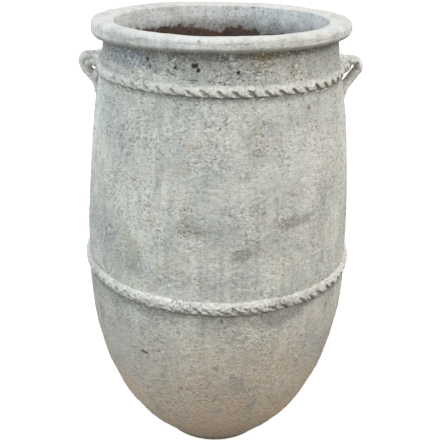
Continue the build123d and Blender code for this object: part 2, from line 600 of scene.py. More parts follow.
def work_the_skin(body):
    """Lumps of hand building, paddle marks, the stippled skin and lost grit."""
    sizes = jar_sizes()
    uneven(body, cloud_texture("lumps", LUMP), sizes.lump_depth, vertex_group="loose")
    paddling = cloud_texture("paddling", PADDLE_MARK)
    uneven(body, paddling, sizes.paddle_depth, vertex_group="loose")
    deselect()
    bpy.ops.object.empty_add(location=(0, 0, 0))
    stretch = bpy.context.object
    stretch.scale = STIPPLE_STRETCH
    bpy.context.view_layer.update()
    uneven(
        body,
        cloud_texture("stipple", STIPPLE, 1),
        sizes.ripple_depth,
        "OBJECT",
        texture_coords_object=stretch,
        vertex_group="stippled",
    )
    bpy.data.objects.remove(stretch)
    uneven(body, grit_texture(), sizes.pit_depth, mid_level=1.0, vertex_group="pitted")


def cut_off(body, name):
    """Separates one piece from the turned body by its group."""
    edit(body)
    bpy.ops.mesh.select_all(action="DESELECT")
    bpy.ops.object.vertex_group_set_active(group=name)
    bpy.ops.object.vertex_group_select()
    before = set(bpy.data.objects)
    bpy.ops.mesh.separate(type="SELECTED")
    leave()
    piece = (set(bpy.data.objects) - before).pop()
    piece.name = piece.data.name = name + "_clay"
    return piece


def close_joints(piece):
    """Bridges the outer and the inner edge of each joint face."""
    edit(piece, "EDGE")
    bpy.ops.mesh.select_all(action="DESELECT")
    bpy.ops.mesh.select_non_manifold(
        extend=False,
        use_wire=False,
        use_boundary=True,
        use_multi_face=False,
        use_non_contiguous=False,
        use_verts=False,
    )
    bpy.ops.mesh.mark_sharp()
    leave()
    mesh = piece.data
    heights = {
        frozenset(edge.vertices): sum(mesh.vertices[end].co.z for end in edge.vertices) / 2
        for edge in mesh.edges
        if edge.select
    }
    low, high = min(heights.values()), max(heights.values())
    batches = [set(heights)]
    if high - low > ONE_JOINT:
        lower = {edge for edge, height in heights.items() if height < (low + high) / 2}
        batches = [lower, set(heights) - lower]
    for batch in batches:
        edit(piece, "EDGE")
        bpy.ops.mesh.select_all(action="DESELECT")
        leave()
        for edge in mesh.edges:
            edge.select = frozenset(edge.vertices) in batch
        edit(piece, "EDGE")
        bpy.ops.mesh.bridge_edge_loops()
        leave()


def finish_turned(piece, node, outside, inside):
    close_joints(piece)
    dress(piece, outside, inside)
    edit(piece, "FACE")
    bpy.ops.mesh.select_all(action="DESELECT")
    bpy.ops.object.vertex_group_set_active(group="inside")
    bpy.ops.object.vertex_group_select()
    piece.active_material_index = 1
    bpy.ops.object.material_slot_assign()
    leave()
    piece.vertex_groups.clear()
    place(piece, node)


class JAR_OT_body(Operator):
    """Turn the body from one section, work its skin and part it at the seams"""

    bl_idname = "jar.body"
    bl_label = "Slab, courses, collar and rim"

    def execute(self, context):
        sizes = context.scene.jar_sizes
        body, rows = drawn_section(body_stretches(sizes))
        weigh(body, rows)
        turn_round(body, sizes.facets)
        work_the_skin(body)
        settle_rim(body)
        wall, foot, rim = wall_finish(), foot_finish(), rim_finish()
        inside = inside_finish()
        jobs = [("floor_slab", "foot_clay", foot)]
        jobs += [(name, "wall_clay", wall) for name in COURSES]
        jobs += [("neck_collar", "wall_clay", wall), ("rim_roll", "rim_clay", rim)]
        for node, slot, outside in jobs:
            finish_turned(cut_off(body, node), node, outside, inside)
        bpy.data.objects.remove(body)
        return {"FINISHED"}


# The rope bands

COIL_CORNERS = 36
COIL_STEPS = 360
GASH_DROP = 1 / 5  # a gash's middle lies this share of the coil's height below its middle

# The blade starts as a ball: this part of it is drawn in, and the rest is spread
BLADE_TIP = 0.15
TIP_SCALE = (0.8, 0.6, 1)
HEEL_SCALE = (1.15, 1.2, 1)

# How far a wholly uneven hand strays from the tool's length, width, slant, bite and place
LENGTH_STRAY = (-0.20, 0.20)
WIDTH_STRAY = (-0.30, 0.30)
SLANT_STRAY = (-0.2, 0.2)
BITE_STRAY = (-0.35, 0.15)
PLACE_STRAY = (-0.15, 0.15)

# Size of a mark, depth by the crust's, and depth left by an even hand
ROPE_CRUST = (0.018, 1.8, 0.4)
ROPE_GRAIN = (0.0065, 2.8, 0.2)
ROPE_MID_LEVEL = 0.55


def coil_ring(radius, height, half_thickness, half_height, lean):
    """A coil of oval section laid round the jar, its top leaning into the wall."""
    deselect()
    bpy.ops.mesh.primitive_circle_add(vertices=COIL_CORNERS, radius=1, location=(0, 0, 0))
    ring = bpy.context.object
    ring.data.transform(Matrix.Rotation(math.pi / 2, 4, "X"))
    ring.data.transform(Matrix.Diagonal((half_thickness, 1, half_height, 1)))
    ring.data.transform(Matrix.Rotation(-lean, 4, "Y"))
    ring.data.transform(Matrix.Translation((radius, 0, height)))
    turn_round(ring, COIL_STEPS)
    return ring


def gash_blade():
    """The tool that is pressed across a coil: a lens with a narrow upper end."""
    deselect()
    bpy.ops.mesh.primitive_uv_sphere_add(segments=20, ring_count=14, radius=1)
    blade = bpy.context.object
    for vertex in blade.data.vertices:
        vertex.select = vertex.co.z > BLADE_TIP
    edit(blade)
    bpy.ops.transform.resize(value=TIP_SCALE)
    bpy.ops.mesh.select_all(action="INVERT")
    bpy.ops.transform.resize(value=HEEL_SCALE)
    leave()
    return blade


def pressed_blades(radius, height, gash_length, gashes, jitter, seed):
    """One blade for each gash, set round the jar by an uneven hand."""
    sizes = bpy.context.scene.rope_sizes
    draw = random.Random(seed)

    def stray(low, high):
        return jitter * draw.uniform(low, high)

    blade = gash_blade()
    copies = []
    for step in range(gashes):
        long = 1 + stray(*LENGTH_STRAY)
        wide = 1 + stray(*WIDTH_STRAY)
        slant = sizes.gash_slant + stray(*SLANT_STRAY)
        bite = sizes.gash_depth * (1 + stray(*BITE_STRAY))
        turn = FULL_TURN * (step + stray(*PLACE_STRAY)) / gashes
        half_sizes = (sizes.blade_reach, sizes.gash_width / 2 * wide, gash_length / 2 * long)
        copy = blade.copy()
        copy.data = blade.data.copy()
        bpy.context.collection.objects.link(copy)
        copy.data.transform(
            Matrix.Rotation(turn, 4, "Z")
            @ Matrix.Translation((radius + sizes.blade_reach - bite, 0, height))
            @ Matrix.Rotation(sizes.gash_dive, 4, "Y")
            @ Matrix.Rotation(slant, 4, "X")
            @ Matrix.Diagonal((*half_sizes, 1))
        )
        copies.append(copy)
    bpy.data.objects.remove(blade)
    return joined(copies)


def rope_band(node, height, coil_height, lean, gashes, jitter, seed):
    """A gashed coil; jitter is 0 for an even hand and 1 for a wholly uneven one."""
    sizes = bpy.context.scene.rope_sizes
    radius = outer_radius(height)
    half_thickness = sizes.coil_thickness / 2 - sizes.crust
    half_height = coil_height / 2 - sizes.crust
    ring = coil_ring(radius, height, half_thickness, half_height, lean)
    ring.name = ring.data.name = node + "_clay"
    crest = radius + math.hypot(half_thickness * math.cos(lean), half_height * math.sin(lean))
    gash_length = sizes.gash_share * coil_height
    gash_height = height - coil_height * GASH_DROP
    blades = pressed_blades(crest, gash_height, gash_length, gashes, jitter, seed)
    apply_modifier(ring, "BOOLEAN", operation="DIFFERENCE", object=blades, solver="EXACT")
    bpy.data.objects.remove(blades)
    apply_modifier(ring, "REMESH", mode="VOXEL", voxel_size=sizes.grain)
    apply_modifier(ring, "SMOOTH", factor=0.5, iterations=4)
    for name, (size, share, even) in (("crust", ROPE_CRUST), ("grain", ROPE_GRAIN)):
        texture = cloud_texture(f"{node} {name}", size)
        depth = share * sizes.crust * (even + jitter)
        uneven(ring, texture, depth, mid_level=ROPE_MID_LEVEL)
    dress(ring, rope_finish(node, height))
    place(ring, node)


class JAR_OT_ropes(Operator):
    """Lay the two coils round the jar and press their strands"""

    bl_idname = "jar.ropes"
    bl_label = "Rope bands"

    def execute(self, context):
        sizes = context.scene.rope_sizes
        rope_band(
            "neck_rope",
            height=SHOULDER_SEAM - sizes.neck_coil_drop,
            coil_height=sizes.neck_coil_height,
            lean=sizes.neck_coil_lean,
            gashes=sizes.neck_gashes,
            jitter=0.4,
            seed=3,
        )
        rope_band(
            "belt_rope",
            height=BELT_SEAM - sizes.belt_coil_drop,
            coil_height=sizes.belt_coil_height,
            lean=sizes.belt_coil_lean,
            gashes=sizes.belt_gashes,
            jitter=1.0,
            seed=8,
        )
        return {"FINISHED"}


# The handles

STRAP_CORNERS = 32
TAIL_TAPER = 0.94  # each step of the tail is this much narrower

# Size and depth of the marks on a handle
HANDLE_LUMPS = (0.025, 0.0030)
HANDLE_GRAIN = (0.006, 0.0012)

# Pats of clay: places from the arm's root, and half sizes
ROOT_PATS = (
    ((0.010, 0, -0.003), (0.017, 0.025, 0.0155)),
    ((-0.004, 0, 0.006), (0.012, 0.024, 0.024)),
    ((0.0115, 0, -0.074), (0.012, 0.022, 0.030)),
)
RIGHT_PATS = (*ROOT_PATS, ((0.014, 0, -0.010), (0.021, 0.022, 0.021)))
LEFT_PATS = (
    *ROOT_PATS,
    ((0.014, 0, -0.010), (0.023, 0.022, 0.018)),
    ((0.0375, 0, -0.0150), (0.012, 0.018, 0.010)),
    ((0.0205, 0, -0.0420), (0.011, 0.018, 0.013)),
    ((0.0440, 0, -0.0270), (0.0105, 0.017, 0.016)),
)


def extrude_run(move, steps, shrink=1.0):
    for _ in range(steps):
        part = {"value": move / steps}
        bpy.ops.mesh.extrude_region_move(TRANSFORM_OT_translate=part)
        if shrink != 1.0:
            bpy.ops.transform.resize(value=(1, shrink, 1))


def heading_down(turn):
    """The strap's direction after it has turned over by this much."""
    return Vector((math.cos(turn), 0, -math.sin(turn)))


def strap():
    """The right handle's strap, drawn out along its middle line."""
    sizes = bpy.context.scene.handle_sizes
    jar = jar_sizes()
    arm_height = SHOULDER_SEAM + sizes.arm_rise
    reach = jar.shoulder_radius + sizes.stand_out
    bend_start = reach - sizes.strap_thickness / 2 - sizes.bend_radius
    start = Vector((jar.neck_radius - sizes.root_depth, 0, arm_height))
    deselect()
    bpy.ops.mesh.primitive_circle_add(
        vertices=STRAP_CORNERS,
        radius=sizes.strap_width / 2,
        location=(0, 0, 0),
        fill_type="NOTHING",
    )
    piece = bpy.context.object
    piece.data.transform(Matrix.Rotation(math.pi / 2, 4, "Y"))
    piece.data.transform(Matrix.Diagonal((1, 1, sizes.strap_thickness / sizes.strap_width, 1)))
    piece.data.transform(Matrix.Translation(start))
    edit(piece)
    bpy.ops.mesh.select_all(action="SELECT")
    extrude_run(Vector((bend_start - start.x, 0, 0)), steps=6)
    centre = Vector((bend_start, 0, arm_height - sizes.bend_radius))
    bpy.ops.mesh.spin(steps=14, angle=sizes.turn, center=centre, axis=(0, -1, 0))
    heading = heading_down(sizes.turn)
    outward = Vector((math.sin(sizes.turn), 0, math.cos(sizes.turn)))
    bend_end = centre + sizes.bend_radius * outward
    fall = bend_end.z - (SHOULDER_SEAM - sizes.elbow_drop)
    drop = heading * (fall / -heading.z)
    extrude_run(drop, steps=6)
    elbow = bend_end + drop + sizes.elbow_radius * outward
    bpy.ops.mesh.spin(steps=6, angle=-sizes.tail_turn, center=elbow, axis=(0, -1, 0))
    tail = heading_down(sizes.turn - sizes.tail_turn) * sizes.tail_length
    extrude_run(tail, steps=5, shrink=TAIL_TAPER)
    bpy.ops.mesh.select_all(action="DESELECT")
    bpy.ops.mesh.select_non_manifold(extend=False)
    bpy.ops.mesh.edge_face_add()
    leave()
    face_outwards(piece)
    return piece


def luted_pat(place_at, half_sizes):
    """A pat of clay that spreads a strap's end over the wall."""
    deselect()
    bpy.ops.mesh.primitive_uv_sphere_add(segments=24, ring_count=16, radius=1)
    pat = bpy.context.object
    pat.data.transform(Matrix.Diagonal((*half_sizes, 1)))
    pat.data.transform(Matrix.Translation(place_at))
    return pat


def handle(node, turn, pats, material):
    """A strap with its pats of clay, made on the right and turned into place."""
    sizes = bpy.context.scene.handle_sizes
    root = Vector((jar_sizes().neck_radius, 0, SHOULDER_SEAM + sizes.arm_rise))
    parts = [strap()]
    parts += [luted_pat(root + Vector(offset), half_sizes) for offset, half_sizes in pats]
    piece = joined(parts)
    piece.name = piece.data.name = node + "_clay"
    apply_modifier(piece, "REMESH", mode="VOXEL", voxel_size=sizes.grain)
    apply_modifier(piece, "SMOOTH", factor=0.5, iterations=8)
    piece.data.transform(Matrix.Rotation(turn, 4, "Z"))
    for name, (size, depth) in (("lumps", HANDLE_LUMPS), ("grain", HANDLE_GRAIN)):
        uneven(piece, cloud_texture(f"{node} {name}", size), depth)
    dress(piece, material)
    place(piece, node)


class JAR_OT_handles(Operator):
    """Draw out the two straps and lute them to the neck and the shoulder"""

    bl_idname = "jar.handles"
    bl_label = "Handles"

    def execute(self, context):
        material = handle_finish()
        handle("right_handle", 0, RIGHT_PATS, material)
        handle("left_handle", math.pi, LEFT_PATS, material)
        return {"FINISHED"}


# The finishes

CLAY_SPECULAR = 0.25

# Each pattern's size, detail, roughness, stretch and seed
EVEN = (1, 1, 1)
PATTERNS = {
    "clouds": (0.16, 4.0, 0.60, EVEN, 0),
    "patches": (0.042, 5.0, 0.65, EVEN, 3),
    "stipple": (0.0066, 2.0, 0.65, (1, 1, 1.45), 5),
    "grain": (0.0032, 2.0, 0.60, EVEN, 7),
    "streaks": (0.018, 4.0, 0.60, (1, 1, 0.06), 9),
    "brush marks": (0.0045, 3.0, 0.60, (0.07, 0.07, 1.0), 13),
    "cool clouds": (0.075, 4.0, 0.60, EVEN, 13),
    "warm clouds": (0.055, 4.0, 0.60, EVEN, 17),
    "coarse spots": (0.055, 2.0, 0.55, EVEN, 19),
    "ragged wall": (0.09, 4.0, 0.55, EVEN, 21),
    "runs": (0.011, 3.0, 0.60, (1, 1, 0.05), 23),
    "blotches": (0.050, 4.0, 0.60, (1, 1, 0.6), 27),
    "bare patches": (0.05, 5.0, 0.60, EVEN, 31),
    "ragged mouth": (0.03, 5.0, 0.70, EVEN, 33),
    "ragged rope": (0.014, 4.0, 0.55, EVEN, 41),
    "clusters": (0.05, 2.0, 0.55, EVEN, 51),
}
# Added to a pattern's seed, so that the finishes differ
WALL_SEED, ROPE_SEED, RIM_SEED, HANDLE_SEED, BARE_SEED = 0.0, 4.0, 11.0, 15.0, 35.0

# Size of a cell, share of the cells that have a hole, and seed
PITS = {
    "neck": (0.016, 0.12, 2.0),
    "wall": (0.020, 0.05, 5.0),
    "rim": (0.018, 0.03, 7.0),
    "rope": (0.014, 0.25, 9.0),
    "handle": (0.016, 0.12, 4.0),
    "mouth": (0.012, 0.30, 12.0),
    "deep mouth": (0.009, 0.5, 14.0),
    "coarse pricks": (0.0085, 0.45, 3.0),
    "fine pricks": (0.0060, 0.35, 6.0),
}
PIT_EDGE = (0.08, 0.24)
PIT_PUSH = 0.7  # a cell is pushed about by up to this share of its size

# Heights at which a mark begins and at which it is full
EARTH_RISE = (0.53, 0.15)
SMUDGE_RISE = (0.48, 0.40)
# Painted shade on the flanks
FLANK_SHADE_RISE = (0.44, 0.34)
GROUND_RISE = (0.17, 0.06)
CRUMB_RISE = (0.0, 0.5)
FOOT_EARTH = (0.004, 0.02)
FOOT_CLAY = (0.022, 0.005)
# Dirt and painted shadow below the belt
BELT_DIRT_AND_SHADE = (BELT_SEAM - 0.085, BELT_SEAM - 0.030)
BELT_EDGE = (BELT_SEAM, BELT_SEAM - 0.018)
NECK_RISE = (SHOULDER_SEAM - 0.05, SHOULDER_SEAM + 0.01)
COLLAR_RISE = (SHOULDER_SEAM - 0.02, SHOULDER_SEAM + 0.03)
# Dirt and painted shadow under the rim
COVE_RISE = (TOTAL_HEIGHT - 0.054, TOTAL_HEIGHT - 0.046)
# The wash grows darker deeper in the mouth
MOUTH_DARKENING = (TOTAL_HEIGHT - 0.030, TOTAL_HEIGHT - 0.064)
MOUTH_EDGE = (TOTAL_HEIGHT - 0.067, TOTAL_HEIGHT - 0.060)
MOUTH_SLOPE = 0.045  # the wash reaches deeper at the right
# Painted shade on the flanks, where the belly turns away at the sides
SHADED_FLANKS = (0.020, 0.075)  # squares of the distance from the middle

# Upward share of the normal where the painted shade on an underside begins and where it is full
SHADED_UNDERSIDE = (-0.05, -0.75)

# How far an edge wanders, from its lowest to its highest place
WALL_WANDER = 0.22
COVE_WANDER = 0.06  # share of the wall's
ROPE_WANDER = 0.024
MOUTH_WANDER = 0.07

# Shares of a stain's size up to which it is full and at which it ends
STAIN_EDGE = (0.35, 1.0)
STAIN_WOBBLE = 45.0  # waves of its edge, to the metre
STAIN_FINE_WOBBLE = 0.8  # on a small stain, to its half width

STAINS = (
    # degrees from the front, height, half width, half height, shade, strength
    (30.0, 0.672, 0.075, 0.020, "grime_and_shade", 0.46),
    (10.0, 0.615, 0.034, 0.020, "grime_and_shade", 0.40),
    (-10.5, 0.669, 0.045, 0.022, "grime_and_shade", 0.38),
    (16.0, 0.821, 0.026, 0.016, "grime_and_shade", 0.32),
    (-12.0, 0.703, 0.022, 0.026, "buff", 0.55),
    (-10.5, 0.830, 0.016, 0.022, "buff", 0.45),
    (-34.5, 0.575, 0.030, 0.080, "lichen", 0.45),
    (20.0, 1.001, 0.050, 0.012, "ochre", 0.75),
    (18.5, 0.984, 0.034, 0.014, "ochre", 0.42),
    (35.0, 1.006, 0.040, 0.008, "ochre", 0.45),
    (9.5, 0.968, 0.048, 0.013, "slate_and_shade", 0.42),
    (-48.0, 0.985, 0.120, 0.032, "slate_and_shade", 0.62),
    (6.0, 0.375, 0.150, 0.085, "buff", 0.30),
    (-55.0, 0.958, 0.060, 0.012, "wash", 0.35),
    (-27.0, 0.954, 0.070, 0.009, "thick_wash", 0.40),
    (-48.0, 0.840, 0.050, 0.130, "slate_and_shade", 0.20),
    (-78.0, 0.830, 0.100, 0.170, "inner_wash", 0.60),
    (78.0, 0.800, 0.100, 0.200, "thick_wash", 0.55),
    (38.0, 0.800, 0.130, 0.110, "thick_wash", 0.45),
    (-43.0, 0.310, 0.110, 0.110, "grey_wash_and_shade", 0.45),
    (50.0, 0.330, 0.080, 0.080, "grey_wash_and_shade", 0.35),
    (17.5, 0.627, 0.090, 0.045, "grime_and_shade", 0.20),
    (-32.5, 0.562, 0.050, 0.030, "slate_and_shade", 0.35),
    (-4.0, 0.723, 0.055, 0.050, "wash", 0.40),
    (23.5, 0.896, 0.080, 0.028, "wash", 0.40),
    (-36.0, 0.442, 0.060, 0.026, "wash", 0.45),
    (29.0, 0.482, 0.045, 0.022, "wash", 0.35),
    (10.5, 0.546, 0.030, 0.024, "wash", 0.35),
)

CHIPS = (
    # degrees from the front, height, half width, half height, strength
    (0.5, 0.341, 0.010, 0.013, 0.40),
    (11.5, 0.416, 0.011, 0.012, 0.30),
    (3.0, 0.391, 0.009, 0.010, 0.35),
    (-30.5, 0.353, 0.014, 0.006, 1.0),
    (-11.3, 0.9805, 0.0065, 0.0080, 1.30),
    (-10.1, 0.9825, 0.0050, 0.0080, 1.30),
    (-9.4, 0.973, 0.0055, 0.0055, 1.40),
    (-19.6, 0.975, 0.0055, 0.0050, 1.20),
    (7.6, 0.971, 0.0060, 0.0055, 1.40),
    (31.6, 0.966, 0.0050, 0.0045, 1.20),
    (-33.3, 0.986, 0.0055, 0.0050, 1.20),
    (-11.8, 0.954, 0.016, 0.0025, 0.70),
)


class Socket:
    """A node's output that takes part in Python expressions."""

    def __init__(self, tree, link=None):
        self.tree = tree
        self.link = link

    def node(self, kind, inputs=None, output=0, **settings):
        """Adds a node, sets it up, fills its sockets and gives back one output."""
        made = self.tree.nodes.new(kind)
        for name, value in settings.items():
            setattr(made, name, value)
        for name, value in (inputs or {}).items():
            if isinstance(value, Socket):
                self.tree.links.new(value.link, made.inputs[name])
            else:
                made.inputs[name].default_value = value
        return Socket(self.tree, made.outputs[output])

    def beside(self, output):
        """Another output of the same node."""
        return Socket(self.tree, self.link.node.outputs[output])

    def math(self, operation, first, second):
        return self.node("ShaderNodeMath", {0: first, 1: second}, operation=operation)

    def __add__(self, other):
        return self.math("ADD", self, other)

    def __radd__(self, other):
        return self.math("ADD", other, self)

    def __sub__(self, other):
        return self.math("SUBTRACT", self, other)

    def __rsub__(self, other):
        return self.math("SUBTRACT", other, self)

    def __mul__(self, other):
        return self.math("MULTIPLY", self, other)

    def __rmul__(self, other):
        return self.math("MULTIPLY", other, self)

    def between(self, low, high, start=0.0, end=1.0):
        """Eases from start to end as this value goes from low to high."""
        inputs = {0: self, 1: low, 2: high, 3: start, 4: end}
        return self.node("ShaderNodeMapRange", inputs, interpolation_type="SMOOTHSTEP")

    def mixed(self, first, second):
        """First where this mask is 0, second where it is 1."""
        inputs = {0: self, 6: first, 7: second}
        return self.node("ShaderNodeMix", inputs, 2, data_type="RGBA", clamp_factor=True)

    def moved(self, operation, other):
        return self.node("ShaderNodeVectorMath", {0: self, 1: other}, operation=operation)

    def length(self):
        return self.node("ShaderNodeVectorMath", {0: self}, "Value", operation="LENGTH")


def opaque(values):
    return (*values, 1.0)


def shade(name):
    return opaque(getattr(bpy.context.scene.jar_finish, name))


class Coat:
    """A clay finish: its place on the jar, its tone and relief so far, and its shader."""

    def __init__(self, name):
        self.material = bpy.data.materials.new(name)
        self.material.use_nodes = True
        tree = self.material.node_tree
        self.shader = tree.nodes["Principled BSDF"]
        self.shader.inputs["Specular IOR Level"].default_value = CLAY_SPECULAR
        self.start = Socket(tree)
        self.where = self.start.node("ShaderNodeTexCoord", output="Object")
        self.x = self.where.node("ShaderNodeSeparateXYZ", {0: self.where}, "X")
        self.z = self.x.beside("Z")
        self.tone = self.relief = self.rough = None

    def above(self):
        """From -1 where the surface faces down to 1 where it faces up."""
        facing = self.start.node("ShaderNodeTexCoord", output="Normal")
        return facing.node("ShaderNodeSeparateXYZ", {0: facing}, "Z")

    def pattern(self, name, seed=0.0):
        size, detail, roughness, stretch, own_seed = PATTERNS[name]
        shift = (seed + own_seed,) * 3
        inputs = {"Vector": self.where, "Location": shift, "Scale": stretch}
        placed = self.where.node("ShaderNodeMapping", inputs)
        inputs = {"Vector": placed, "Scale": 1 / size, "Detail": detail, "Roughness": roughness}
        return placed.node("ShaderNodeTexNoise", inputs)

    def ragged(self, name, wander):
        """A pattern that lets an edge wander, as far down as up."""
        return self.pattern(name) * wander - wander / 2

    def wobble(self, scale, detail):
        """A coloured pattern that pushes other patterns about."""
        inputs = {"Vector": self.where, "Scale": scale, "Detail": detail}
        return self.where.node("ShaderNodeTexNoise", inputs, "Color")

    def lay(self, tint, mask, share=None):
        """Lays a shade over the tone where the mask is, covering this share of it."""
        cover = mask if share is None else share * mask
        self.tone = cover.mixed(self.tone, shade(tint))

    def sink(self, mask, share):
        """Lowers the relief where the mask is."""
        self.relief = self.relief - share * mask

    def show(self, depth, strength):
        """Links the finish to the shader and gives back the material."""
        inputs = {"Height": self.relief, "Distance": depth, "Strength": strength}
        bump = self.relief.node("ShaderNodeBump", inputs)
        looks = {"Base Color": self.tone, "Roughness": self.rough, "Normal": bump}
        for name, socket in looks.items():
            self.material.node_tree.links.new(socket.link, self.shader.inputs[name])
        return self.material


def stain(coat, degrees, height, across, tall):
    """A ragged patch on the outside, at an angle from the front and a height."""
    turn = math.radians(degrees)
    radius = outer_radius(height) if height < SHOULDER_SEAM else jar_sizes().neck_radius
    centre = (radius * math.sin(turn), -radius * math.cos(turn), height)
    extent = (across, across, tall)
    wobble = coat.wobble(max(STAIN_WOBBLE, STAIN_FINE_WOBBLE / across), 3.0)
    shift = wobble.moved("SUBTRACT", (0.5, 0.5, 0.5)).moved("MULTIPLY", extent)
    away = coat.where.moved("ADD", shift).moved("SUBTRACT", centre)
    return away.moved("DIVIDE", extent).length().between(*STAIN_EDGE, 1.0, 0.0)


def pits(coat, name):
    """Small dark holes, in some of the cells of a pattern."""
    size, share, seed = PITS[name]
    shift = coat.wobble(3 / size, 1.0).moved("MULTIPLY", (PIT_PUSH * size,) * 3)
    shifted = coat.where.moved("ADD", (seed, seed, seed)).moved("ADD", shift)
    inputs = {"Vector": shifted, "Scale": 1 / size}
    cells = coat.where.node("ShaderNodeTexVoronoi", inputs, "Distance", feature="F1")
    chance = cells.node("ShaderNodeSeparateColor", {0: cells.beside("Color")})
    chosen = chance.between(1 - share - 0.02, 1 - share + 0.02)
    return cells.between(*PIT_EDGE, 1.0, 0.0) * chosen


def pricks(coat):
    """Pinholes, in clusters."""
    clusters = coat.pattern("clusters").between(0.42, 0.56)
    return clusters * (pits(coat, "coarse pricks") + pits(coat, "fine pricks"))


def weathered(coat, light, grey, seed):
    """The wash's tone: cloudy, streaked by rain, and worn down to the clay in places."""
    patches = coat.pattern("patches", seed)
    streaks = coat.pattern("streaks", seed)
    coat.tone = shade(light)
    coat.lay(grey, coat.pattern("clouds", seed).between(0.32, 0.78))
    coat.lay(grey, streaks.between(0.48, 0.70), 0.70)
    coat.lay("buff", patches.between(0.50, 0.72) * streaks.between(0.35, 0.62), 0.50)
    coat.lay("slate_and_shade", coat.pattern("cool clouds", seed).between(0.52, 0.68), 0.28)
    coat.lay("buff", coat.pattern("warm clouds", seed).between(0.54, 0.70), 0.35)
    coat.lay("grime_and_shade", coat.pattern("runs", seed).between(0.52, 0.68), 0.17)
    coat.lay("grime_and_shade", patches.between(0.50, 0.30), 0.26)


def speckled(coat, seed, crumbs=0.60, bite=1.0):
    """Adds dark hollows and pale crumbs, and sets the relief and the roughness."""
    patches = coat.pattern("patches", seed)
    stipple = coat.pattern("stipple", seed)
    grain = coat.pattern("grain", seed)
    coarse = coat.pattern("coarse spots", seed).between(0.36, 0.64, 0.55, 1.30) * bite
    hollow = stipple.between(0.50, 0.30) + 0.5 * grain.between(0.45, 0.30)
    coat.lay("grime_and_shade", coarse * hollow, 0.50)
    crumb = stipple.between(0.55, 0.72) + 0.5 * grain.between(0.56, 0.70)
    coat.lay("thick_wash", coarse * crumb, crumbs)
    coat.relief = 0.65 * stipple + 0.35 * grain + 0.3 * patches
    coat.rough = patches.between(0.3, 0.7, 0.82, 0.95)


def wall_finish():
    sizes, ropes = jar_sizes(), bpy.context.scene.rope_sizes
    coat = Coat("worn wash on the wall")
    weathered(coat, "wash", "grey_wash_and_shade", WALL_SEED)
    ragged = coat.ragged("ragged wall", WALL_WANDER)
    level = coat.z + ragged

    # Earth and dirt on the lower belly, and painted shade on its flanks
    blotches = coat.pattern("blotches")
    uneven_cover = blotches.between(0.30, 0.60, 0.60, 1.08)
    coat.lay("earth", level.between(*EARTH_RISE) * uneven_cover, 0.85)
    coat.lay("grime_and_shade", coat.z.between(*SMUDGE_RISE) * blotches.between(0.46, 0.32), 0.24)
    # Painted shade on the flanks, where the lower belly turns away at the sides
    shaded_flanks = (coat.x * coat.x).between(*SHADED_FLANKS)
    coat.lay("slate_and_shade", shaded_flanks * coat.z.between(*FLANK_SHADE_RISE), 0.26)
    coat.lay("clay", coat.z.between(*GROUND_RISE), 0.27)

    # Dirt and painted shadow under the belt and under the rim, painted shadow under the ropes,
    # and dirt on the collar
    coat.lay("grime_and_shade", level.between(*BELT_DIRT_AND_SHADE) * coat.z.between(*BELT_EDGE), 0.42)
    # Dirt and painted shadow under the rim
    slope = sizes.under_tilt / (sizes.neck_radius + sizes.rim_overhang)
    cove = coat.z - slope * coat.x + COVE_WANDER * ragged
    coat.lay("dirt_and_shadow", cove.between(*COVE_RISE), 0.50)
    # Painted shadow on the wall just below each rope
    for edge in (
        SHOULDER_SEAM - ropes.neck_coil_drop - ropes.neck_coil_height / 2,
        BELT_SEAM - ropes.belt_coil_drop - ropes.belt_coil_height / 2,
    ):
        rope_shadow = coat.z.between(edge - 0.012, edge) * coat.z.between(edge + 0.02, edge + 0.01)
        coat.lay("grime_and_shade", rope_shadow, 0.50)
    coat.lay("grime_and_shade", level.between(*COLLAR_RISE), 0.22)

    for degrees, height, across, tall, tint, strength in STAINS:
        coat.lay(tint, stain(coat, degrees, height, across, tall), strength)

    neck = coat.z.between(*NECK_RISE)
    speckled(coat, WALL_SEED, coat.z.between(*CRUMB_RISE, 0.30, 0.60), 1.0 + 0.5 * neck)
    holes = pits(coat, "neck") * neck + pits(coat, "wall") + neck * pricks(coat)
    for degrees, height, across, tall, strength in CHIPS:
        holes = holes + strength * stain(coat, degrees, height, across, tall)
    coat.lay("pit", holes, 0.8)
    coat.sink(holes, 0.8)
    return coat.show(depth=0.004, strength=0.7)


def foot_finish():
    coat = Coat("rubbed clay of the foot")
    weathered(coat, "buff", "earth", WALL_SEED)
    coat.lay("earth", coat.z.between(*FOOT_EARTH, 0.5, 0.75))
    coat.lay("clay", coat.z.between(*FOOT_CLAY, 0.22, 0.62))
    speckled(coat, WALL_SEED, crumbs=0.30)
    return coat.show(depth=0.003, strength=0.55)


def rim_finish():
    coat = Coat("thick wash on the rim")
    above = coat.above()
    weathered(coat, "rim_wash", "wash", RIM_SEED)
    brushed = above.between(0.80, 0.45) * coat.pattern("brush marks").between(0.52, 0.36)
    coat.lay("grey_wash_and_shade", brushed, 0.45)
    plain = coat.tone
    speckled(coat, RIM_SEED)
    coat.tone = above.between(0.35, 0.85, 0.55, 0.20).mixed(plain, coat.tone)
    # Painted shade: the crown greyed where it faces up
    coat.lay("grey_wash_and_shade", above.between(0.40, 0.90), 0.32)
    holes = pits(coat, "rim")
    coat.lay("grime_and_shade", holes, 0.5)
    # Painted shade where the roll turns downwards
    coat.lay("grime_and_shade", above.between(0.0, -0.40), 0.20)
    # Dirt and painted shade on the underside
    coat.lay("dirt_and_shadow", above.between(*SHADED_UNDERSIDE), 0.42)
    coat.sink(brushed, 0.3)
    coat.sink(holes, 0.6)
    return coat.show(depth=0.003, strength=0.5)


